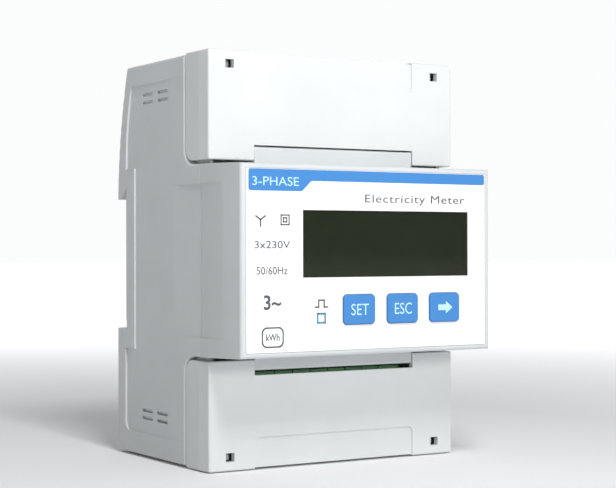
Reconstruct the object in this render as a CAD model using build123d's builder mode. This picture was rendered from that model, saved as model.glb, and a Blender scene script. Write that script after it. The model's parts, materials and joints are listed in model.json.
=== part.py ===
"""Three-phase electricity meter for a 35 mm DIN rail, four modules wide.

Frame: X to the right, Z up, and the front faces -Y. The origin is the centre of the plane that
seats on the rail. Depths are measured forward from that plane, so a depth d lies at Y = -d.
"""
import os
from math import radians, sin, cos

from build123d import *

os.makedirs("parts", exist_ok=True)

# ---------------------------------------------------------------- driving dimensions, mm
width = 71.7                 # of the base; the bowed front housing makes it 72, four modules
height = 100.0               # over the pads on the top and bottom
front_depth = 60.0           # rail seat to the front of the bezel
cover_depth = 44.5           # rail seat to the front of the terminal covers
rim_depth = 33.0             # front rim of the base, beside the covers
seam_depth = 40.6            # where the front housing meets the base
foot = 5.5                   # how far the base reaches behind the rail seat
wall = 2.0                   # case walls
cover_wall = 1.6
edge_radius = 0.8

half_width = width / 2
case_top = height / 2 - 0.5  # the end walls stand 0.5 below the pads
inner_x = half_width - wall
inner_z = case_top - wall

rail_half = 17.8             # lower edge of the rail channel, below the origin
seat_half = 15.4             # the seat itself is a raised strip between the two hooks
hook_root = 18.5             # upper edge of the channel at the seat
hook_tip = 15.6              # lowest point of the fixed upper hook

block_half_rear = 22.9       # half height of the central block where it leaves the base
block_half_front = 22.3
block_half_width_seam = 35.8
block_half_width_middle = 35.98  # so the bow reaches 36, four 18 mm modules over all
block_half_width_front = 35.45

hinge_depth = 42.9           # cover hinge line
hinge_z = 24.8
cover_inner_z = 23.8         # edge of each cover nearest the block
cover_outer_z = height / 2 - 0.15
cover_half_width = 35.7      # beside the base's rim
cover_half_width_front = 35.4
cover_bend_depth = 40.0      # where each side wall starts to lean in
notch_half_width = 23.1
notch_z = 27.5
trunnion_radius = 0.8
trunnion_bore = 0.85

seal_hole_x, seal_hole_z = 29.75, 46.6

plate_depth = (31.0, 33.0)   # terminal plates of the front housing
plate_half_width = inner_x - 0.3
front_wall_rear = 57.8       # inside face of the bezel wall

screw_post = (30.3, 25.4)    # case screw posts, four places by symmetry
screw_head_depth = 14.0
post_joint_depth = 23.9

window_centre = (4.925, 3.85)
window_size = (48.25, 16.1)
key_z = -11.65
key_x = {"set_key": -3.57, "escape_key": 8.92, "arrow_key": 21.41}
key_size = (8.9, 7.05)
key_travel = 0.6
lamp = (-14.0, -13.5)

main_board = (5.0, 6.6)      # depths of the two faces of the metering board
display_board_depth = (51.0, 52.6)
main_board_posts = (26.0, 14.0)
display_board_posts = (29.2, 16.7)

voltage_pitch = 15.0
voltage_x = [voltage_pitch * (i - 1.5) for i in range(4)]
voltage_z = 38.0
voltage_wire_depth = 17.7
signal_pitch = 5.08
signal_x = [signal_pitch * (i - 3.5) for i in range(8)]
signal_z = -36.0
signal_wire_depth = 28.0

latch_half_width = 10.9
spring_top, spring_bottom = -28.0, -39.0


# ---------------------------------------------------------------- shared shapes
def facing(depth):
    """A sketch plane parallel to the front; its x is X and its y is Z."""
    return Plane.XZ.offset(depth)


def block(x, depth, z, mode=Mode.ADD):
    """A rectangular block between two values of X, two depths and two values of Z."""
    with Locations((sum(x) / 2, -sum(depth) / 2, sum(z) / 2)):
        Box(x[1] - x[0], depth[1] - depth[0], z[1] - z[0], mode=mode)


def rod(x, z, depth, radius, mode=Mode.ADD):
    """A cylinder that runs front to back between two depths."""
    with Locations((x, -sum(depth) / 2, z)):
        Cylinder(radius, depth[1] - depth[0], rotation=(90, 0, 0), mode=mode)


def cross_rod(x, depth, z, radius, mode=Mode.ADD):
    """A cylinder along X, between two values of X."""
    with Locations((sum(x) / 2, -depth, z)):
        Cylinder(radius, x[1] - x[0], rotation=(0, 90, 0), mode=mode)


def upright_rod(x, depth, z, radius, mode=Mode.ADD):
    """A cylinder along Z, between two values of Z."""
    with Locations((x, -depth, sum(z) / 2)):
        Cylinder(radius, z[1] - z[0], mode=mode)


def four(x, z):
    """The four points at plus and minus x and z."""
    return [(sx * x, sz * z) for sx in (-1, 1) for sz in (-1, 1)]


def save(piece, name):
    """Label a finished piece and write it to its own STEP file."""
    piece.part.label = name
    export_step(piece.part, f"parts/{name}.step")


# ---------------------------------------------------------------- side relief of the case
# A shallow panel is sunk into each side wall. It is deepest at the back and runs out at the rim.
panel_depth = 0.6
with BuildPart() as side_panel:
    with BuildSketch(Plane.YZ.offset(half_width - panel_depth)):
        with BuildLine():
            ThreePointArc((-3.0, 44.5), (-0.8, 36.0), (0.2, 23.3))
            Polyline((0.2, 23.3), (-4.8, 23.3), (-4.8, -22.8), (0.6, -22.8), (0.6, -43.9))
            Polyline((0.6, -43.9), (-rim_depth, -43.9), (-rim_depth, 44.5), (-3.0, 44.5))
        make_face()
        fillet(vertices().group_by(Axis.Y)[0].sort_by(Axis.X)[-1], 2.5)
    extrude(amount=panel_depth * 2)
    with BuildSketch(Plane.XY.offset(-height / 2)):
        Polygon(
            (half_width, -rim_depth),
            (half_width - panel_depth, 6.0),
            (half_width + panel_depth, 6.0),
            (half_width + panel_depth, -rim_depth),
            align=None,
        )
    extrude(amount=height, mode=Mode.INTERSECT)
    for z, y in [(41.7, -12.0), (39.7, -12.0), (-38.1, -11.7), (-40.0, -11.7)]:
        for shift in (0.0, -8.7):
            with BuildSketch(Plane.YZ.offset(half_width - 1.0)):
                with Locations((y + shift, z)):
                    SlotOverall(6.3, 0.8)
            extrude(amount=1.6)

# A finger scoop crosses the seam between the base and the front housing.
scoop_half = 18.3
scoop_start, scoop_end = 27.0, 53.0
scoop_floor = half_width - 0.5
with BuildPart() as side_scoop:
    with BuildSketch(Plane.XY.offset(-scoop_half)):
        with BuildLine():
            ThreePointArc(
                (scoop_floor, -seam_depth),
                (scoop_floor + 0.46, -(seam_depth + scoop_end) / 2),
                (scoop_floor + 0.57, -scoop_end),
            )
            Polyline(
                (scoop_floor + 0.57, -scoop_end), (half_width + 1, -scoop_end),
                (half_width + 1, -scoop_start), (half_width - 0.09, -scoop_start),
                (scoop_floor, -seam_depth),
            )
        make_face()
    extrude(amount=2 * scoop_half)

# ---------------------------------------------------------------- rear base
fillet_centre = rim_depth + 4.0
bend = 4.0 * sin(radians(45))
with BuildPart() as rear_base:
    with BuildSketch(Plane.YZ):
        with BuildLine():
            ThreePointArc((-0.4, case_top), (3.25, 36.0), (foot - 0.1, 17.4))
            Polyline(
                (foot - 0.1, 17.4), (foot - 0.1, hook_tip), (3.2, hook_tip), (0, hook_root),
                (0, -rail_half), (foot, -rail_half), (foot, -case_top),
                (-rim_depth, -case_top), (-rim_depth, -27.0),
            )
            ThreePointArc(
                (-rim_depth, -27.0),
                (-fillet_centre + bend, -27.0 + bend),
                (-fillet_centre, -23.0),
            )
            Polyline(
                (-fillet_centre, -23.0), (-seam_depth, -block_half_rear),
                (-seam_depth, block_half_rear), (-fillet_centre, 23.0),
            )
            ThreePointArc(
                (-fillet_centre, 23.0),
                (-fillet_centre + bend, 27.0 - bend),
                (-rim_depth, 27.0),
            )
            Polyline((-rim_depth, 27.0), (-rim_depth, case_top), (-0.4, case_top))
        make_face()
    extrude(amount=half_width, both=True)
    outline = faces().filter_by(Axis.X).sort_by(Axis.X)
    rounded = [
        e for side in (outline[0], outline[-1]) for e in side.outer_wire().edges()
        if not (abs(e.center().Z) < 22.5 and e.center().Y > -1) and e.center().Y > -seam_depth + 0.1
    ]
    fillet(rounded, edge_radius)
    # inside
    block((-inner_x, inner_x), (wall, 45.0), (-inner_z, inner_z), Mode.SUBTRACT)
    with BuildSketch(Plane.YZ):
        with BuildLine():
            ThreePointArc((-2.1, inner_z), (1.2, 36.0), (3.3, 20.8))
            Polyline((3.3, 20.8), (-2.1, 20.8), (-2.1, inner_z))
        make_face()
    extrude(amount=inner_x, both=True, mode=Mode.SUBTRACT)
    for side in (-1, 1):
        block(sorted((side * 15.4, side * inner_x)), (2 - foot, wall + 0.1), (-inner_z, -19.8),
              Mode.SUBTRACT)
    # case screw posts, bored from behind
    for x, z in four(*screw_post):
        rod(x, z, (-3.7, post_joint_depth), 3.2)
        rod(x, z, (-foot - 1, screw_head_depth), 2.9, Mode.SUBTRACT)
        rod(x, z, (screw_head_depth - 1, post_joint_depth + 1), 1.65, Mode.SUBTRACT)
    # board posts
    for x, z in four(*main_board_posts):
        rod(x, z, (wall - 0.2, main_board[0]), 2.6)
        rod(x, z, (wall + 0.2, main_board[0] + 1), 1.1, Mode.SUBTRACT)
    # pads round the wire entries
    for side in (-1, 1):
        block((-32.0, 32.0), (7.0, 32.0), sorted((side * (case_top - 0.5), side * height / 2)))
    for x in voltage_x:
        upright_rod(x, voltage_wire_depth, (inner_z - 1, height / 2 + 1), 3.0, Mode.SUBTRACT)
    for x in signal_x:
        upright_rod(x, signal_wire_depth, (-height / 2 - 1, -inner_z + 1), 1.7, Mode.SUBTRACT)
    # the seat strip stands 0.2 proud of the channel floor beside it
    for z in ((-rail_half, -seat_half), (seat_half, hook_root)):
        block((-half_width - 1, half_width + 1), (-0.1, 0.2), z, Mode.SUBTRACT)
    # channel for the rail latch, with a groove down each side
    block((-latch_half_width - 0.3, latch_half_width + 0.3), (-foot - 1, -0.4),
          (-height / 2 - 1, -rail_half + 1), Mode.SUBTRACT)
    block((-13.2, 13.2), (-2.2, -0.4), (-height / 2 - 1, -20.0), Mode.SUBTRACT)
    block((-1.9, 1.9), (-4.2, 0.0), (spring_bottom - 3.0, spring_bottom))
    # relief on both sides
    for relief in (side_panel.part, side_scoop.part):
        add(relief, mode=Mode.SUBTRACT)
        add(mirror(relief, about=Plane.YZ, mode=Mode.PRIVATE), mode=Mode.SUBTRACT)

# ---------------------------------------------------------------- front housing
seam_gap = 0.1
with BuildPart() as front_housing:
    # the side walls bow slightly outward, and the top and bottom taper to the front
    with BuildSketch(Plane.XY.offset(-block_half_rear)):
        with BuildLine():
            for side in (-1, 1):
                ThreePointArc(
                    (side * block_half_width_seam, -seam_depth - seam_gap),
                    (side * block_half_width_middle, -(seam_depth + front_depth) / 2),
                    (side * block_half_width_front, -front_depth),
                )
            for x, depth in ((block_half_width_seam, seam_depth + seam_gap),
                             (block_half_width_front, front_depth)):
                Line((-x, -depth), (x, -depth))
        make_face()
    extrude(amount=2 * block_half_rear)
    with BuildSketch(Plane.YZ.offset(-half_width - 0.5)):
        Polygon(
            (-seam_depth, -block_half_rear), (-seam_depth, block_half_rear),
            (-front_depth - 1, block_half_front), (-front_depth - 1, -block_half_front),
            align=None,
        )
    extrude(amount=2 * half_width + 1, mode=Mode.INTERSECT)
    fillet(edges().filter_by_position(Axis.Y, -front_depth - 0.01, -front_depth + 0.01), 0.8)
    block((-plate_half_width, plate_half_width), (plate_depth[0], seam_depth + 1), (-22.7, 22.7))
    block((-32.2, 32.2), (plate_depth[0] - 1, front_wall_rear), (-20.6, 20.6), Mode.SUBTRACT)
    # terminal plates beside the block
    for side in (-1, 1):
        block((-plate_half_width, plate_half_width), plate_depth,
              sorted((side * 22.0, side * (inner_z - 0.2))))
    # ledge bars that fill the cover notches and carry the hinge bores
    for side, tip in ((1, 27.2), (-1, 26.4)):
        block((-22.9, 22.9), (40.0, 44.2), sorted((side * 22.4, side * tip)))
        corner = edges().filter_by(Axis.X).filter_by_position(Axis.Y, -44.3, -44.1)
        fillet(corner.sort_by(Axis.Z)[-1 if side > 0 else 0], 0.6)
        for end in (-1, 1):
            cross_rod(sorted((end * 20.8, end * 24.0)), hinge_depth, side * hinge_z,
                      trunnion_bore, Mode.SUBTRACT)
    # gussets that close the view between each cover and the block
    for x, z in four(33.2, 24.8):
        block((x - 0.5, x + 0.5), (plate_depth[1] - 0.5, 41.6), (z - 2.4, z + 2.4))
    # posts that show in the seal holes of the covers
    for x, z in four(seal_hole_x, seal_hole_z):
        inward = -1 if z > 0 else 1
        block((x - 1.0, x + 1.0), (32.5, 41.9), (z - 0.9, z + 0.9))
        block((x - 1.0, x + 1.0), (32.5, 39.5), sorted((z + inward * 4.0, z)))
    # screw posts
    for x, z in four(*screw_post):
        rod(x, z, (post_joint_depth + 0.1, plate_depth[0] + 0.5), 3.2)
        rod(x, z, (post_joint_depth, plate_depth[1] - 1.0), 1.5, Mode.SUBTRACT)
    for x, z in four(*display_board_posts):
        rod(x, z, (display_board_depth[1], front_wall_rear + 0.5), 2.4)
        rod(x, z, (display_board_depth[1] - 1, front_wall_rear - 0.3), 1.1, Mode.SUBTRACT)
    # screwdriver holes over the voltage clamps, and the opening for the signal block
    for x in voltage_x:
        rod(x, voltage_z, (plate_depth[0] - 1, plate_depth[1] + 1), 2.3, Mode.SUBTRACT)
    block((-21.8, 21.8), (plate_depth[0] - 1, plate_depth[1] + 1), (-44.4, -26.7), Mode.SUBTRACT)
    # front openings and the recess for the label
    with BuildSketch(facing(front_wall_rear - 0.5)):
        with Locations(window_centre):
            Rectangle(*window_size)
        for x in key_x.values():
            with Locations((x, key_z)):
                RectangleRounded(key_size[0] + 0.3, key_size[1] + 0.3, 1.15)
        with Locations(lamp):
            Rectangle(1.7, 1.8)
    extrude(amount=3.0, mode=Mode.SUBTRACT)
    block((-34.2, 34.2), (front_depth - 0.3, front_depth + 1), (-21.2, 21.2), Mode.SUBTRACT)
    add(side_scoop.part, mode=Mode.SUBTRACT)
    add(mirror(side_scoop.part, about=Plane.YZ, mode=Mode.PRIVATE), mode=Mode.SUBTRACT)

# ---------------------------------------------------------------- terminal covers
with BuildPart() as upper_cover:
    with BuildSketch(Plane.XY.offset(cover_inner_z)):
        Polygon(
            (-cover_half_width, -rim_depth - 0.4), (cover_half_width, -rim_depth - 0.4),
            (cover_half_width, -cover_bend_depth), (cover_half_width_front, -cover_depth),
            (-cover_half_width_front, -cover_depth), (-cover_half_width, -cover_bend_depth),
            align=None,
        )
        fillet(vertices().group_by(Axis.Y)[0], 0.6)
    extrude(amount=cover_outer_z - cover_inner_z)
    for z, radius in ((cover_outer_z, 0.5), (cover_inner_z, 0.4)):
        rim = edges().filter_by_position(Axis.Z, z - 0.01, z + 0.01)
        fillet(rim.filter_by(lambda e: e.center().Y < -rim_depth - 1), radius)
    with BuildSketch(Plane.XY.offset(cover_inner_z - 1)):
        with Locations((0, -(cover_depth - cover_wall + rim_depth - 2) / 2)):
            Rectangle(2 * (cover_half_width_front - cover_wall),
                      cover_depth - cover_wall - rim_depth + 2)
        fillet(vertices().group_by(Axis.Y)[0], 1.0)
    extrude(amount=cover_outer_z - cover_wall - cover_inner_z + 1, mode=Mode.SUBTRACT)
    # the rear inner corner of each side wall is round, to clear the bend in the base's rim
    back, corner = -rim_depth - 0.4, 3.2
    with BuildSketch(Plane.YZ):
        with BuildLine():
            ThreePointArc(
                (back - corner, cover_inner_z),
                (back - corner * (1 - sin(radians(45))), cover_inner_z + corner * (1 - cos(radians(45)))),
                (back, cover_inner_z + corner),
            )
            Polyline((back, cover_inner_z + corner), (back + 1, cover_inner_z + corner),
                     (back + 1, cover_inner_z - 1), (back - corner, cover_inner_z - 1),
                     (back - corner, cover_inner_z))
        make_face()
    extrude(amount=half_width, both=True, mode=Mode.SUBTRACT)
    block((-notch_half_width, notch_half_width), (40.0, 46.0), (cover_inner_z - 1, notch_z),
          Mode.SUBTRACT)
    # sunk finger pad that wraps over the outer end
    with BuildSketch(facing(cover_depth - 0.4)):
        with Locations((0, 48.0)):
            RectangleRounded(46.0, 11.4, 1.5)
    extrude(amount=1.0, mode=Mode.SUBTRACT)
    block((-23.0, 23.0), (rim_depth, cover_depth + 1), (cover_outer_z - 0.35, height / 2 + 1),
          Mode.SUBTRACT)
    # seal holes
    with BuildSketch(facing(cover_depth - cover_wall - 0.5)):
        with Locations((-seal_hole_x, seal_hole_z), (seal_hole_x, seal_hole_z)):
            Rectangle(2.3, 2.1)
    extrude(amount=3.0, mode=Mode.SUBTRACT)
    # hinge lugs and trunnions
    for side in (-1, 1):
        block(sorted((side * notch_half_width, side * 26.2)), (41.4, cover_depth - 1.0),
              (cover_inner_z, 26.6))
        cross_rod(sorted((side * 21.1, side * (notch_half_width + 0.4))), hinge_depth, hinge_z,
                  trunnion_radius)
with BuildPart() as lower_cover:
    add(mirror(upper_cover.part, about=Plane.XY, mode=Mode.PRIVATE))

# ---------------------------------------------------------------- front of the meter
with BuildPart() as front_label:
    with BuildSketch(facing(front_depth - 0.28)):
        Rectangle(68.2, 42.2)
        with Locations(window_centre):
            Rectangle(window_size[0] - 0.4, window_size[1] - 0.4, mode=Mode.SUBTRACT)
        for x in key_x.values():
            with Locations((x, key_z)):
                RectangleRounded(key_size[0] + 0.2, key_size[1] + 0.2, 1.1, mode=Mode.SUBTRACT)
        with Locations(lamp):
            Rectangle(1.7, 1.8, mode=Mode.SUBTRACT)
    extrude(amount=0.28)

with BuildPart() as display_window:
    with BuildSketch(facing(57.2)):
        with Locations(window_centre):
            Rectangle(window_size[0] - 0.2, window_size[1] - 0.2)
    extrude(amount=2.4)
    with BuildSketch(facing(57.0)):
        with Locations(window_centre):
            RectangleRounded(window_size[0] + 2.2, window_size[1] + 2.2, 0.8)
    extrude(amount=0.75)

glass_size = (49.6, 17.6)
with BuildPart() as lcd_glass:
    with BuildSketch(facing(54.7)):
        with Locations(window_centre):
            Rectangle(*glass_size)
    extrude(amount=1.1)
    with BuildSketch(facing(55.8)):
        with Locations((window_centre[0], window_centre[1] + 0.7)):
            Rectangle(glass_size[0], glass_size[1] - 1.6)
    extrude(amount=1.1)

with BuildPart() as lcd_frame:
    with BuildSketch(facing(display_board_depth[1])):
        with Locations(window_centre):
            Rectangle(glass_size[0] + 2.0, glass_size[1] + 1.7)
            Rectangle(44.0, 13.0, mode=Mode.SUBTRACT)
        with Locations((window_centre[0], window_centre[1] - 7.7)):
            Rectangle(40.6, 1.5, mode=Mode.SUBTRACT)
    extrude(amount=4.2)
    with BuildSketch(facing(54.6)):
        with Locations(window_centre):
            Rectangle(glass_size[0] + 0.2, glass_size[1] + 0.2)
    extrude(amount=4.0, mode=Mode.SUBTRACT)

with BuildPart() as lcd_backlight:
    with BuildSketch(facing(display_board_depth[1] + 0.1)):
        with Locations(window_centre):
            Rectangle(43.6, 12.6)
    extrude(amount=1.8)

with BuildPart() as lcd_connector:
    with BuildSketch(facing(display_board_depth[1])):
        with Locations((window_centre[0], window_centre[1] - 7.7)):
            Rectangle(40.2, 1.1)
    extrude(amount=2.1)

# Each key is a cap with a flange that keeps it behind the bezel; it pushes a switch plunger.
for name, x in key_x.items():
    with BuildPart() as key:
        with BuildSketch(facing(57.2)):
            with Locations((x, key_z)):
                RectangleRounded(*key_size, 1.0)
        extrude(amount=3.4)
        fillet(faces().sort_by(Axis.Y)[0].edges(), 0.35)
        with BuildSketch(facing(56.9)):
            with Locations((x, key_z)):
                RectangleRounded(key_size[0] + 1.4, key_size[1] + 1.4, 1.4)
        extrude(amount=0.6)
    save(key, name)
    with BuildPart() as plunger:
        rod(x, key_z, (55.0, 56.85), 1.5)
        fillet(edges().filter_by(GeomType.CIRCLE).sort_by(Axis.Y)[0], 0.3)
    save(plunger, name.replace("_key", "_plunger"))

with BuildPart() as key_switches:
    for x in key_x.values():
        block((x - 3.0, x + 3.0), (display_board_depth[1], 55.9), (key_z - 3.0, key_z + 3.0))
        rod(x, key_z, (54.3, 57.0), 1.56, Mode.SUBTRACT)

with BuildPart() as pulse_led:
    rod(*lamp, (display_board_depth[1], 54.2), 1.5)
    with Locations((lamp[0], -54.2, lamp[1])):
        Sphere(1.3)
    rod(*lamp, (display_board_depth[1], 53.3), 1.75)

with BuildPart() as light_pipe:
    with BuildSketch(facing(56.4)):
        with Locations(lamp):
            Rectangle(1.5, 1.6)
    extrude(amount=front_depth - 0.05 - 56.4)
    rod(*lamp, (55.7, 57.5), 1.7)

# ---------------------------------------------------------------- boards and what is on them
with BuildPart() as display_board:
    block((-31.6, 31.6), display_board_depth, (-19.6, 19.6))
    for x, z in four(*display_board_posts):
        rod(x, z, (50.0, 54.0), 1.25, Mode.SUBTRACT)

with BuildPart() as metering_board:
    block((-32.6, 32.6), main_board, (-46.0, 46.0))
    for x, z in four(*screw_post):
        rod(x, z, (4.0, 8.0), 3.5, Mode.SUBTRACT)
    for x, z in four(*main_board_posts):
        rod(x, z, (4.0, 8.0), 1.25, Mode.SUBTRACT)

screw_head = 1.4
with BuildPart() as board_screws:
    for x, z in four(*main_board_posts):
        rod(x, z, (wall + 0.6, main_board[1]), 1.05)
        rod(x, z, (main_board[1], main_board[1] + screw_head), 2.1)
        block((x - 1.6, x + 1.6), (main_board[1] + 0.8, 9.0), (z - 0.3, z + 0.3), Mode.SUBTRACT)
    for x, z in four(*display_board_posts):
        rod(x, z, (display_board_depth[0], 56.5), 1.05)
        rod(x, z, (display_board_depth[0] - screw_head, display_board_depth[0]), 2.1)
        block((x - 1.6, x + 1.6), (49.0, display_board_depth[0] - 0.8), (z - 0.3, z + 0.3),
              Mode.SUBTRACT)

riser_z = -17.5
with BuildPart() as riser_board:
    block((-14.0, 14.0), (7.4, 50.2), (riser_z - 0.6, riser_z + 0.6))
with BuildPart() as riser_connectors:
    for depth in ((main_board[1], 12.0), (45.6, display_board_depth[0])):
        block((-15.0, 15.0), depth, (riser_z - 2.0, riser_z + 2.0))
    block((-14.1, 14.1), (7.3, 50.3), (riser_z - 0.7, riser_z + 0.7), Mode.SUBTRACT)

with BuildPart() as transformer_core:
    block((-14.0, 14.0), (8.4, 31.0), (-5.0, 5.0))
    for side in (-1, 1):
        block(sorted((side * 4.0, side * 9.5)), (12.4, 27.0), (-6.0, 6.0), Mode.SUBTRACT)
with BuildPart() as transformer_winding:
    block((-9.2, 9.2), (12.6, 26.8), (-9.4, 9.4))
    fillet(edges().filter_by(Axis.Y), 2.5)
    block((-4.1, 4.1), (12.0, 27.5), (-5.1, 5.1), Mode.SUBTRACT)
    for side in (-1, 1):
        foot_z = sorted((side * 5.2, side * 11.0))
        block((-13.0, 13.0), (main_board[1], 8.2), foot_z)
        block((-3.6, 3.6), (8.0, 13.0), sorted((side * 5.3, side * 9.0)))

with BuildPart() as filter_capacitors:
    for x, z in ((-24.5, 4.0), (-24.5, -6.0), (24.5, 4.0)):
        rod(x, z, (main_board[1], 20.0), 4.0)
    fillet(edges().filter_by(GeomType.CIRCLE).group_by(Axis.Y)[0], 0.6)
with BuildPart() as surge_varistors:
    for x in voltage_x[:3]:
        upright_rod(x + 7.5, 13.4, (19.0, 22.4), 5.0)
        for leg in (-2.5, 2.5):
            rod(x + 7.5 + leg, 20.7, (main_board[1], 10.0), 0.4)
with BuildPart() as metering_chips:
    for x, z, half_x, half_z in ((21.5, -6.0, 5.0, 5.0), (-21.0, -21.5, 3.0, 4.5),
                                 (-12.0, -26.0, 4.0, 2.5), (8.0, -26.0, 4.0, 2.5)):
        block((x - half_x, x + half_x), (main_board[1], 8.2), (z - half_z, z + half_z))
    block((-18.0, -6.0), (49.4, display_board_depth[0]), (-2.0, 10.0))


# ---------------------------------------------------------------- clamp terminals
# A rising-cage clamp: the screw turns in place and its tip bears on a fixed bar; the cage
# climbs the thread and traps the wire against the back of the bar.
class Clamp:
    """Sizes of one clamp, with depths along the screw's axis."""

    def __init__(self, bar, bar_half, cage, cage_wall, cage_half, cage_length, screw, head):
        self.bar = bar                  # depths of the fixed bar's two faces
        self.bar_half = bar_half        # half its width
        self.cage = cage                # depths of the cage's outer faces when it is open
        self.cage_wall = cage_wall
        self.cage_half = cage_half      # half the cage's outer width
        self.cage_length = cage_length  # along the wire
        self.screw = screw              # radius of the thread
        self.head = head                # radius and depths of the head


voltage_clamp = Clamp((20.0, 21.5), 3.2, (14.0, 23.6), 1.4, 4.6, 9.0, 1.9, (2.8, 29.0, 30.6))
signal_clamp = Clamp((29.8, 31.0), 1.15, (25.0, 32.9), 0.6, 1.95, 6.0, 1.15, (1.6, 36.0, 37.4))


def clamp_cage(clamp, x, z):
    """The square loop that climbs the screw."""
    half_length = clamp.cage_length / 2
    block((x - clamp.cage_half, x + clamp.cage_half), clamp.cage,
          (z - half_length, z + half_length))
    inner = clamp.cage_half - clamp.cage_wall * 0.7
    block((x - inner, x + inner), (clamp.cage[0] + clamp.cage_wall, clamp.bar[1] + 0.5),
          (z - half_length - 1, z + half_length + 1), Mode.SUBTRACT)
    rod(x, z, (clamp.bar[1], clamp.cage[1] + 1), clamp.screw + 0.06, Mode.SUBTRACT)


def clamp_screw(clamp, x, z):
    """The slotted screw, with its tip just off the bar."""
    radius, head_back, head_front = clamp.head
    rod(x, z, (clamp.bar[1] + 0.05, head_back), clamp.screw)
    rod(x, z, (head_back, head_front), radius)
    block((x - radius, x + radius), (head_front - 0.8, head_front + 1), (z - 0.35, z + 0.35),
          Mode.SUBTRACT)


def clamp_bar(clamp, x, z, leg_z):
    """The fixed bar and the leg that solders into the metering board."""
    far_end = z + (z - leg_z)
    block((x - clamp.bar_half, x + clamp.bar_half), clamp.bar, sorted((leg_z, far_end)))
    inward = 1 if leg_z < z else -1
    block((x - clamp.bar_half * 0.8, x + clamp.bar_half * 0.8), (main_board[1], clamp.bar[1]),
          sorted((leg_z, leg_z + inward * 1.0)))


for kind, clamp, places, z in (
    ("voltage", voltage_clamp, voltage_x, voltage_z),
    ("signal", signal_clamp, signal_x, signal_z),
):
    for i, x in enumerate(places, start=1):
        with BuildPart() as cage:
            clamp_cage(clamp, x, z)
        save(cage, f"{kind}_cage_{i}")
        with BuildPart() as screw:
            clamp_screw(clamp, x, z)
        save(screw, f"{kind}_screw_{i}")
with BuildPart() as voltage_bars:
    for x in voltage_x:
        clamp_bar(voltage_clamp, x, voltage_z, 31.4)
with BuildPart() as signal_bars:
    for x in signal_x:
        clamp_bar(signal_clamp, x, signal_z, -31.2)

with BuildPart() as voltage_terminal_block:
    block((-30.0, 30.0), (main_board[1], 30.7), (29.4, 46.8))
    fillet(edges().filter_by(Axis.Y), 0.6)
    for x in voltage_x:
        block((x - 5.0, x + 5.0), (13.4, 28.5), (31.2, 45.2), Mode.SUBTRACT)
        block((x - 2.8, x + 2.8), (main_board[1] - 1, 14.0), (31.2, 32.6), Mode.SUBTRACT)
        rod(x, voltage_z, (28.0, 32.0), 2.88, Mode.SUBTRACT)
        upright_rod(x, voltage_wire_depth, (45.0, 48.0), 3.0, Mode.SUBTRACT)
    for x in (-voltage_pitch, 0.0, voltage_pitch):
        block((x - 0.8, x + 0.8), (10.0, 32.0), (34.0, 48.0), Mode.SUBTRACT)

with BuildPart() as signal_terminal_block:
    block((-21.4, 21.4), (12.0, 40.5), (-44.0, -27.0))
    chamfer(edges().filter_by(Axis.X).sort_by(Axis.Y)[0], 1.2)
    for x in signal_x:
        block((x - 2.1, x + 2.1), (24.6, 35.4), (-41.6, -30.9), Mode.SUBTRACT)
        block((x - 1.1, x + 1.1), (11.0, 25.0), (-32.5, -30.9), Mode.SUBTRACT)
        rod(x, signal_z, (35.0, 41.0), 1.7, Mode.SUBTRACT)
        upright_rod(x, signal_wire_depth, (-45.0, -41.0), 1.5, Mode.SUBTRACT)
    for x in signal_x[1:]:
        block((x - signal_pitch / 2 - 0.2, x - signal_pitch / 2 + 0.2), (39.9, 41.0), (-45, -26),
              Mode.SUBTRACT)

# ---------------------------------------------------------------- rail latch
with BuildPart() as din_latch:
    block((-latch_half_width, latch_half_width), (-3.4, -0.7), (-49.6, -18.4))
    block((-13.0, 13.0), (-2.0, -0.7), (-45.0, -20.3))
    with BuildSketch(Plane.YZ):
        Polygon((1.3, -19.0), (1.3, -15.8), (2.0, -15.8), (3.4, -17.6), (3.4, -19.0), align=None)
    extrude(amount=8.0, both=True)
    block((-latch_half_width, latch_half_width), (-5.2, -0.7), (-49.6, -46.4))
    block((-2.6, 2.6), (-4.0, 0.0), (-45.8, spring_top + 0.1), Mode.SUBTRACT)
    block((-3.5, 3.5), (-6.0, -2.2), (-48.6, -47.4), Mode.SUBTRACT)

wire = 0.25
coil = 1.45
with BuildPart() as latch_spring:
    with BuildLine():
        turns = Helix(pitch=(spring_top - spring_bottom - 2 * wire) / 6,
                      height=spring_top - spring_bottom - 2 * wire, radius=coil,
                      center=(0, 2.6, spring_bottom + wire))
    with BuildSketch(Plane(origin=turns @ 0, z_dir=turns % 0)):
        Circle(wire)
    sweep()

# ---------------------------------------------------------------- case screws
with BuildPart() as housing_screws:
    for x, z in four(*screw_post):
        rod(x, z, (screw_head_depth, 31.0), 1.45)
        rod(x, z, (screw_head_depth - 2.0, screw_head_depth), 2.7)
        for size in ((2.0, 0.35), (0.35, 2.0)):
            block((x - size[0], x + size[0]), (11.0, screw_head_depth - 0.9),
                  (z - size[1], z + size[1]), Mode.SUBTRACT)

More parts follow.
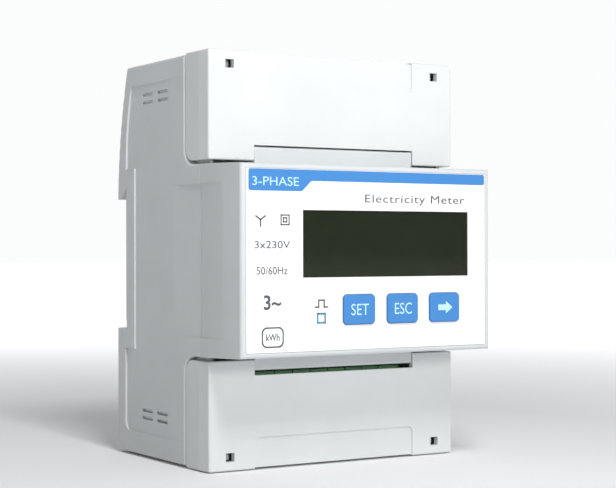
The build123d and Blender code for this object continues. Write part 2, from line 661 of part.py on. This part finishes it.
for piece, name in (
    (rear_base, "rear_base"),
    (front_housing, "front_housing"),
    (upper_cover, "upper_cover"),
    (lower_cover, "lower_cover"),
    (front_label, "front_label"),
    (display_window, "display_window"),
    (lcd_glass, "lcd_glass"),
    (lcd_frame, "lcd_frame"),
    (lcd_backlight, "lcd_backlight"),
    (lcd_connector, "lcd_connector"),
    (key_switches, "key_switches"),
    (pulse_led, "pulse_led"),
    (light_pipe, "light_pipe"),
    (display_board, "display_board"),
    (metering_board, "metering_board"),
    (board_screws, "board_screws"),
    (riser_board, "riser_board"),
    (riser_connectors, "riser_connectors"),
    (transformer_core, "transformer_core"),
    (transformer_winding, "transformer_winding"),
    (filter_capacitors, "filter_capacitors"),
    (surge_varistors, "surge_varistors"),
    (metering_chips, "metering_chips"),
    (voltage_terminal_block, "voltage_terminal_block"),
    (signal_terminal_block, "signal_terminal_block"),
    (voltage_bars, "voltage_bars"),
    (signal_bars, "signal_bars"),
    (din_latch, "din_latch"),
    (latch_spring, "latch_spring"),
    (housing_screws, "housing_screws"),
):
    save(piece, name)
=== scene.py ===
import json
from math import cos, pi, radians, sin

import bmesh
import bpy
from mathutils import Matrix, Vector


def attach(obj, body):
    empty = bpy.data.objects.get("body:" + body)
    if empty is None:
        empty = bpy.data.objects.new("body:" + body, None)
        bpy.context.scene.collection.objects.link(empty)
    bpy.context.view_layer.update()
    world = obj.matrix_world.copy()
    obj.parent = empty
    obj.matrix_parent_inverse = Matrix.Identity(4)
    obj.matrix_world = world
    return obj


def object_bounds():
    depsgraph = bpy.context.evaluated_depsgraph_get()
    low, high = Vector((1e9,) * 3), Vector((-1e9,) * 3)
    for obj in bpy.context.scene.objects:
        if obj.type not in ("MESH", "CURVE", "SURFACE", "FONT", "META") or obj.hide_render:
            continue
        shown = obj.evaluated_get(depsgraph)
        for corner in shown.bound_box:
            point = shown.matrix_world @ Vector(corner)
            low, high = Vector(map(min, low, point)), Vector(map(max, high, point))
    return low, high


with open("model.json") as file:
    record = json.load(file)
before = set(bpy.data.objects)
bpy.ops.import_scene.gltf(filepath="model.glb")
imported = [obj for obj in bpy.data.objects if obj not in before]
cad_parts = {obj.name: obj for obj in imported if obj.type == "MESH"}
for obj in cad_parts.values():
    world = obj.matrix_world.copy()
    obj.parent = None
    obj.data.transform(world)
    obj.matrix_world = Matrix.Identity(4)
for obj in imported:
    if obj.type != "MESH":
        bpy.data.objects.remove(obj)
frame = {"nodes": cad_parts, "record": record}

cad_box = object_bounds()
nodes = frame["nodes"]
MM = 0.001
PRINT = 0.03                  # thickness of the ink, millimetres
LABEL = 60.0                  # depth of the label's face
KEY_FACE = 60.6               # depth of the keys' faces
scene = bpy.context.scene


# ================================================================ materials
class Shader:
    """A node material around one Principled shader, with short calls for the usual textures."""

    def __init__(self, name, roughness=0.5, metallic=0.0, specular=0.5, coat=0.0, coat_roughness=0.1,
                 alpha=1.0):
        self.material = bpy.data.materials.new(name)
        self.material.use_nodes = True
        self.tree = self.material.node_tree
        self.bsdf = self.tree.nodes["Principled BSDF"]
        self.bsdf.inputs["Roughness"].default_value = roughness
        self.bsdf.inputs["Metallic"].default_value = metallic
        self.bsdf.inputs["Specular IOR Level"].default_value = specular
        self.bsdf.inputs["Coat Weight"].default_value = coat
        self.bsdf.inputs["Coat Roughness"].default_value = coat_roughness
        self.bsdf.inputs["Alpha"].default_value = alpha
        self.place = self.tree.nodes.new("ShaderNodeTexCoord").outputs["Object"]

    def link(self, source, target):
        self.tree.links.new(source, target)

    def noise(self, scale, detail=3.0, stretch=(1, 1, 1)):
        """Noise whose lumps are about 1/scale metres wide, longer along an axis with stretch < 1."""
        mapping = self.tree.nodes.new("ShaderNodeMapping")
        mapping.inputs["Scale"].default_value = stretch
        self.link(self.place, mapping.inputs["Vector"])
        node = self.tree.nodes.new("ShaderNodeTexNoise")
        node.inputs["Scale"].default_value = scale
        node.inputs["Detail"].default_value = detail
        self.link(mapping.outputs["Vector"], node.inputs["Vector"])
        return node.outputs["Fac"]

    def ramp(self, source, *stops):
        """A colour ramp; each stop is (position, colour)."""
        node = self.tree.nodes.new("ShaderNodeValToRGB")
        elements = node.color_ramp.elements
        while len(elements) < len(stops):
            elements.new(0.5)
        for element, (position, colour) in zip(elements, stops):
            element.position = position
            element.color = (*colour, 1)
        self.link(source, node.inputs["Fac"])
        return node.outputs["Color"]

    def spread(self, source, low, high):
        """Maps the middle of a noise onto low..high."""
        node = self.tree.nodes.new("ShaderNodeMapRange")
        node.inputs["From Min"].default_value = 0.3
        node.inputs["From Max"].default_value = 0.7
        node.inputs["To Min"].default_value = low
        node.inputs["To Max"].default_value = high
        self.link(source, node.inputs["Value"])
        return node.outputs["Result"]

    def colour(self, source):
        self.link(source, self.bsdf.inputs["Base Color"])

    def bump(self, source, depth, strength=1.0):
        """Relief that stands depth metres high."""
        node = self.tree.nodes.new("ShaderNodeBump")
        node.inputs["Distance"].default_value = depth
        node.inputs["Strength"].default_value = strength
        self.link(source, node.inputs["Height"])
        previous = self.bsdf.inputs["Normal"].links
        if previous:
            self.link(previous[0].from_socket, node.inputs["Normal"])
        self.link(node.outputs["Normal"], self.bsdf.inputs["Normal"])


def shade(colour, factor):
    return tuple(min(1.0, c * factor) for c in colour)


def moulded(name, colour, roughness=0.45, grain=0.000012, grain_scale=3200, mottle=0.03, **more):
    """Moulded plastic: a fine spark-eroded grain, faint flow mottling and uneven gloss."""
    s = Shader(name, roughness=roughness, **more)
    s.colour(s.ramp(s.noise(55, 4), (0.3, shade(colour, 1 - mottle)), (0.7, shade(colour, 1 + mottle))))
    s.link(s.spread(s.noise(420, 2), roughness - 0.05, roughness + 0.06), s.bsdf.inputs["Roughness"])
    s.bump(s.noise(grain_scale, 2), grain)
    return s.material


def metal(name, colour, roughness=0.3, brushed=(1, 1, 1), grain=0.00001):
    """Plated metal with fine drawing lines."""
    s = Shader(name, roughness=roughness, metallic=1.0)
    s.colour(s.ramp(s.noise(300, 3), (0.3, shade(colour, 0.9)), (0.7, shade(colour, 1.06))))
    lines = s.noise(2600, 3, brushed)
    s.link(s.spread(lines, roughness - 0.08, roughness + 0.12), s.bsdf.inputs["Roughness"])
    s.bump(lines, grain)
    return s.material


def circuit_board(name):
    """Green solder mask over copper tracks."""
    s = Shader(name, roughness=0.3, coat=0.4)
    tracks = s.tree.nodes.new("ShaderNodeTexBrick")
    tracks.inputs["Scale"].default_value = 240
    tracks.inputs["Mortar Size"].default_value = 0.12
    s.link(s.place, tracks.inputs["Vector"])
    tracks.inputs["Color1"].default_value = (0.010, 0.085, 0.035, 1)
    tracks.inputs["Color2"].default_value = (0.014, 0.100, 0.042, 1)
    tracks.inputs["Mortar"].default_value = (0.022, 0.150, 0.060, 1)
    s.colour(tracks.outputs["Color"])
    s.bump(tracks.outputs["Fac"], 0.00003)
    return s.material


def windings(name):
    """Amber tape over layers of enamelled wire, which shows as fine rings."""
    s = Shader(name, roughness=0.35, coat=0.5)
    rings = s.tree.nodes.new("ShaderNodeTexWave")
    rings.bands_direction = "Y"
    rings.inputs["Scale"].default_value = 900
    rings.inputs["Distortion"].default_value = 0.6
    s.link(s.place, rings.inputs["Vector"])
    s.colour(s.ramp(rings.outputs["Color"], (0.2, (0.35, 0.17, 0.03)), (0.8, (0.62, 0.36, 0.08))))
    s.bump(rings.outputs["Fac"], 0.00005)
    return s.material


def laminations(name):
    """Varnished iron sheets stacked along Z."""
    s = Shader(name, roughness=0.45, metallic=0.6)
    sheets = s.tree.nodes.new("ShaderNodeTexWave")
    sheets.bands_direction = "Z"
    sheets.inputs["Scale"].default_value = 640
    s.link(s.place, sheets.inputs["Vector"])
    s.colour(s.ramp(sheets.outputs["Color"], (0.1, (0.03, 0.03, 0.034)), (0.6, (0.12, 0.12, 0.13))))
    s.bump(sheets.outputs["Fac"], 0.00006)
    return s.material


CASE_GREY = (0.600, 0.625, 0.635)
COVER_GREY = (0.665, 0.685, 0.690)
PRINT_BLUE = (0.046, 0.225, 0.560)

looks = {
    "case": moulded("case_plastic", CASE_GREY, roughness=0.42),
    "cover": moulded("cover_plastic", COVER_GREY, roughness=0.42),
    "label": moulded("label_film", (0.86, 0.875, 0.885), roughness=0.32, grain=0.000004,
                     grain_scale=5200, mottle=0.008),
    "key": moulded("key_silicone", PRINT_BLUE, roughness=0.5, grain=0.000008, mottle=0.02),
    "black_plastic": moulded("black_plastic", (0.018, 0.018, 0.020), roughness=0.4),
    "green_plastic": moulded("green_plastic", (0.150, 0.400, 0.170), roughness=0.4),
    "natural_plastic": moulded("natural_plastic", (0.60, 0.60, 0.56), roughness=0.45),
    "light_guide": moulded("light_guide", (0.82, 0.92, 0.95), roughness=0.15, grain=0.000002),
    "lamp": moulded("lamp_body", (0.55, 0.03, 0.02), roughness=0.2),
    "rubber": moulded("zebra_rubber", (0.05, 0.055, 0.06), roughness=0.7),
    "ceramic": moulded("coated_ceramic", (0.02, 0.09, 0.33), roughness=0.35),
    "capacitor": moulded("capacitor_sleeve", (0.02, 0.03, 0.08), roughness=0.3),
    "steel": metal("zinc_plated_steel", (0.62, 0.63, 0.65), 0.3),
    "brass": metal("plated_brass", (0.66, 0.55, 0.34), 0.28, brushed=(1, 1, 0.1)),
    "circuit_board": circuit_board("solder_mask"),
    "winding": windings("taped_winding"),
    "iron": laminations("core_laminations"),
}


def pane():
    """A smoked pane, so the unlit display behind it only just shows through."""
    s = Shader("display_pane", roughness=0.06, specular=0.35, alpha=0.80)
    s.colour(s.ramp(s.noise(160, 2), (0.3, (0.010, 0.015, 0.004)), (0.7, (0.013, 0.019, 0.006))))
    s.link(s.spread(s.noise(700, 2), 0.04, 0.09), s.bsdf.inputs["Roughness"])
    return s.material


def lcd():
    """The unlit display: dark olive with a faint cloudiness."""
    s = Shader("display_glass", roughness=0.3, specular=0.3)
    s.colour(s.ramp(s.noise(120, 3), (0.3, (0.030, 0.040, 0.018)), (0.7, (0.038, 0.050, 0.024))))
    s.bump(s.noise(1500, 2), 0.000003)
    return s.material


looks["window"] = pane()
looks["glass"] = lcd()
for row in frame["record"]["subparts"]:
    node = nodes[row["node"]]
    node.data.materials.clear()
    node.data.materials.append(looks[row["material_slot"]])

ink_dark = moulded("ink_dark", (0.075, 0.080, 0.085), roughness=0.4, grain=0.000003, mottle=0.06)
ink_blue = moulded("ink_blue", PRINT_BLUE, roughness=0.34, grain=0.000004, mottle=0.012)
ink_pale = moulded("ink_pale", (0.50, 0.77, 0.93), roughness=0.4, grain=0.000003, mottle=0.02)
ink_cyan = moulded("ink_cyan", (0.045, 0.250, 0.360), roughness=0.4, grain=0.000003, mottle=0.03)


# ================================================================ small pieces
def finish_piece(piece, body, material):
    """Gives a new piece its material and the body that it rides on."""
    piece.data.materials.clear()
    piece.data.materials.append(material)
    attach(piece, body)
    return piece


def new_object(name, mesh):
    piece = bpy.data.objects.new(name, mesh)
    scene.collection.objects.link(piece)
    return piece


def flat_shape(name, outlines, depth, thickness, body, material):
    """Thin printed shapes parallel to the front. Each outline is a loop of (x, z) in millimetres."""
    mesh = bpy.data.meshes.new(name)
    bm = bmesh.new()
    for outline in outlines:
        corners = [bm.verts.new((x * MM, -depth * MM, z * MM)) for x, z in outline]
        face = bm.faces.new(corners)
        lifted = bmesh.ops.extrude_face_region(bm, geom=[face])["geom"]
        for v in lifted:
            if isinstance(v, bmesh.types.BMVert):
                v.co.y -= thickness * MM
    bmesh.ops.recalc_face_normals(bm, faces=bm.faces)
    bm.to_mesh(mesh)
    bm.free()
    return finish_piece(new_object(name, mesh), body, material)


def arc(centre, radius, start, end, steps):
    """Points along an arc, in degrees."""
    turn = [radians(start + (end - start) * i / steps) for i in range(steps + 1)]
    return [(centre[0] + radius * cos(a), centre[1] + radius * sin(a)) for a in turn]


def rounded(x0, z0, x1, z1, radius, steps=6):
    """A rectangle with round corners."""
    return (arc((x1 - radius, z1 - radius), radius, 0, 90, steps)
            + arc((x0 + radius, z1 - radius), radius, 90, 180, steps)
            + arc((x0 + radius, z0 + radius), radius, 180, 270, steps)
            + arc((x1 - radius, z0 + radius), radius, 270, 360, steps))


def stroke(points, width):
    """Straight strokes between points, each as its own bar, with the ends squared off."""
    bars = []
    for (x0, z0), (x1, z1) in zip(points, points[1:]):
        along = Vector((x1 - x0, z1 - z0)).normalized() * width / 2
        side = Vector((-along.y, along.x))
        a, b = Vector((x0, z0)) - along, Vector((x1, z1)) + along
        bars.append([tuple(a + side), tuple(a - side), tuple(b - side), tuple(b + side)])
    return bars


def lettering(name, text, x, z, height, depth, body, material, width, bold=0.0, spacing=1.0):
    """Text parallel to the front, centred on (x, z) and fitted to height and width in millimetres."""
    curve = bpy.data.curves.new(name, "FONT")
    curve.body = text
    curve.align_x, curve.align_y = "CENTER", "CENTER"
    curve.size = 1.0
    curve.space_character = spacing
    curve.offset = bold
    curve.extrude = 0.02
    curve.resolution_u = 4
    source = bpy.data.objects.new(name + "_source", curve)
    scene.collection.objects.link(source)
    mesh = bpy.data.meshes.new_from_object(source.evaluated_get(bpy.context.evaluated_depsgraph_get()))
    bpy.data.objects.remove(source)
    bpy.data.curves.remove(curve)
    low = [min(v.co[i] for v in mesh.vertices) for i in range(3)]
    high = [max(v.co[i] for v in mesh.vertices) for i in range(3)]
    tall = height / (high[1] - low[1])
    wide = width / (high[0] - low[0])
    for v in mesh.vertices:
        v.co = Vector((
            (x + (v.co.x - (low[0] + high[0]) / 2) * wide) * MM,
            -(depth + (v.co.z - low[2]) / (high[2] - low[2]) * PRINT) * MM,
            (z + (v.co.y - (low[1] + high[1]) / 2) * tall) * MM,
        ))
    return finish_piece(new_object(name, mesh), body, material)


# ================================================================ print on the label
# Places and sizes on the label are X and Z in millimetres.
band_low, band_high, tab_low = 18.45, 21.0, 16.0
band_left, band_right, tab_right = -33.5, 33.9, -19.4
blue_band = (
    arc((band_right - 0.5, band_high - 0.5), 0.5, 90, 0, 5)
    + arc((band_right - 0.5, band_low + 0.5), 0.5, 0, -90, 5)
    + [(tab_right + 3.0, band_low), (tab_right + 2.6, band_low - 0.12)]
    + [(tab_right + 0.4, tab_low + 0.25), (tab_right, tab_low)]
    + arc((band_left + 0.6, tab_low + 0.6), 0.6, 270, 180, 5)
    + arc((band_left + 0.6, band_high - 0.6), 0.6, 180, 90, 5)
)
flat_shape("blue_band", [blue_band], LABEL, PRINT, "meter", ink_blue)
lettering("tab_text", "3-PHASE", -26.3, 18.2, 2.05, LABEL + PRINT, "meter", ink_pale, width=12.4)
lettering("title_text", "Electricity Meter", 13.05, 14.3, 2.5, LABEL, "meter", ink_dark,
          width=29.5, spacing=1.1)
lettering("rating_text", "3x230V", -27.2, 3.65, 1.7, LABEL, "meter", ink_dark, width=9.4)
lettering("frequency_text", "50/60Hz", -27.3, -2.3, 1.75, LABEL, "meter", ink_dark, width=8.2)
lettering("phase_text", "3~", -27.2, -9.6, 3.4, LABEL, "meter", ink_dark, width=4.6, bold=0.02)
lettering("unit_text", "kWh", -27.15, -17.6, 1.6, LABEL, "meter", ink_dark, width=3.6, bold=0.01)
flat_shape("unit_frame", stroke(rounded(-29.9, -19.8, -24.4, -15.4, 1.2, 4) + [(-24.4, -16.6)], 0.32),
           LABEL, PRINT, "meter", ink_dark)
star_x, star_z, star_arm = -30.35, 9.35, 1.45
star = []
for turn in (270, 35, 145):
    tip = (star_x + star_arm * cos(radians(turn)), star_z + star_arm * sin(radians(turn)))
    star += stroke([(star_x, star_z), tip], 0.36)
flat_shape("star_symbol", star, LABEL, PRINT, "meter", ink_dark)
square = []
for inset in (0.15, 0.78):
    a, b, c, d = -25.05 + inset, -22.6 - inset, 8.1 + inset, 10.6 - inset
    square += stroke([(a, c), (b, c), (b, d), (a, d), (a, c)], 0.3)
flat_shape("insulation_symbol", square, LABEL, PRINT, "meter", ink_dark)
pulse = stroke([(-15.7, -10.9), (-14.75, -10.9), (-14.75, -9.3), (-13.25, -9.3), (-13.25, -10.9),
                (-12.3, -10.9)], 0.34)
flat_shape("pulse_symbol", pulse, LABEL, PRINT, "meter", ink_dark)
flat_shape("lamp_frame", stroke([(-15.05, -14.6), (-12.95, -14.6), (-12.95, -12.4), (-15.05, -12.4),
                                 (-15.05, -14.6)], 0.34), LABEL, PRINT, "meter", ink_cyan)

KEY_Z = -11.65
lettering("set_caption", "SET", -3.57, KEY_Z, 2.7, KEY_FACE, "set_key", ink_pale, width=5.0)
lettering("escape_caption", "ESC", 8.92, KEY_Z, 2.7, KEY_FACE, "escape_key", ink_pale, width=5.0)
arrow_x = 21.41
arrow = [(-2.1, -0.7), (0.2, -0.7), (0.2, -1.5), (2.2, 0.0), (0.2, 1.5), (0.2, 0.7), (-2.1, 0.7)]
flat_shape("arrow_caption", [[(arrow_x + x, KEY_Z + z) for x, z in arrow]], KEY_FACE, PRINT, "arrow_key",
           ink_pale)

# ================================================================ studio
floor_mesh = bpy.data.meshes.new("floor")
bm = bmesh.new()
bmesh.ops.create_circle(bm, cap_ends=True, segments=96, radius=6.0)
bm.to_mesh(floor_mesh)
bm.free()
floor = new_object("floor", floor_mesh)
floor_gap = 0.0001            # just under the meter, so that the two don't share a plane
floor.location = (0, 0, cad_box[0][2] - floor_gap)
floor_look = Shader("floor_paper", roughness=0.9, specular=0.1)
floor_look.colour(floor_look.ramp(
    floor_look.noise(6, 2), (0.3, (0.86, 0.865, 0.87)), (0.7, (0.88, 0.885, 0.89))))
# Painted glow: the paper emits a little more light with distance, so that it meets the backdrop without
# a line.
distance = floor_look.tree.nodes.new("ShaderNodeVectorMath")
distance.operation = "LENGTH"
floor_look.link(floor_look.place, distance.inputs[0])
painted_floor_glow = floor_look.tree.nodes.new("ShaderNodeMapRange")
for socket, value in (("From Min", 0.12), ("From Max", 0.50), ("To Min", 0.02), ("To Max", 0.68)):
    painted_floor_glow.inputs[socket].default_value = value
floor_look.link(distance.outputs["Value"], painted_floor_glow.inputs["Value"])
floor_look.bsdf.inputs["Emission Color"].default_value = (0.985, 0.992, 1.0, 1)
floor_look.link(painted_floor_glow.outputs["Result"], floor_look.bsdf.inputs["Emission Strength"])
floor_mesh.materials.append(floor_look.material)

# The surroundings light the left side less than the right, and are white where the camera sees them.
world = bpy.data.worlds.new("studio")
scene.world = world
world.use_nodes = True
sky = world.node_tree
direction = sky.nodes.new("ShaderNodeTexCoord")
parts = sky.nodes.new("ShaderNodeSeparateXYZ")
sky.links.new(direction.outputs["Generated"], parts.inputs["Vector"])
level = sky.nodes.new("ShaderNodeMapRange")
level.inputs["From Min"].default_value = -0.9
level.inputs["From Max"].default_value = 0.25
level.inputs["To Min"].default_value = 0.16
level.inputs["To Max"].default_value = 0.52
sky.links.new(parts.outputs["X"], level.inputs["Value"])
surroundings = sky.nodes["Background"]
surroundings.inputs["Color"].default_value = (0.985, 0.992, 1.0, 1)
sky.links.new(level.outputs["Result"], surroundings.inputs["Strength"])
backdrop = sky.nodes.new("ShaderNodeBackground")
backdrop.inputs["Color"].default_value = (0.97, 0.975, 0.98, 1)
rays = sky.nodes.new("ShaderNodeLightPath")
chooser = sky.nodes.new("ShaderNodeMixShader")
sky.links.new(rays.outputs["Is Camera Ray"], chooser.inputs["Fac"])
sky.links.new(surroundings.outputs["Background"], chooser.inputs[1])
sky.links.new(backdrop.outputs["Background"], chooser.inputs[2])
sky.links.new(chooser.outputs["Shader"], sky.nodes["World Output"].inputs["Surface"])


def area_light(name, place, aim, size, power):
    """A soft square light at place, turned towards aim."""
    lamp = bpy.data.lights.new(name, "AREA")
    lamp.shape = "SQUARE"
    lamp.size = size
    lamp.energy = power
    holder = bpy.data.objects.new(name, lamp)
    holder.location = place
    holder.rotation_euler = (Vector(aim) - Vector(place)).to_track_quat("-Z", "Y").to_euler()
    scene.collection.objects.link(holder)


area_light("key_light", place=(-0.085, -0.30, 0.30), aim=(0, -0.045, 0.04), size=0.10, power=0.92)
area_light("front_fill", place=(-0.10, -1.2, 0.30), aim=(0, 0, 0), size=0.20, power=4.3)

lens = bpy.data.cameras.new("camera")
lens.sensor_width = 36.0
lens.lens = 91.14
lens.clip_start = 0.01
camera = bpy.data.objects.new("camera", lens)
camera_place = (-0.2076, -0.3678, 0.0026)
yaw, pitch, roll = radians(31.68), radians(0.19), radians(-0.1)
camera.matrix_world = (
    Matrix.Translation(camera_place)
    @ Matrix.Rotation(-yaw, 4, "Z")
    @ Matrix.Rotation(pi / 2 + pitch, 4, "X")
    @ Matrix.Rotation(roll, 4, "Z")
)
scene.collection.objects.link(camera)
scene.camera = camera
scene.view_settings.view_transform = "Standard"
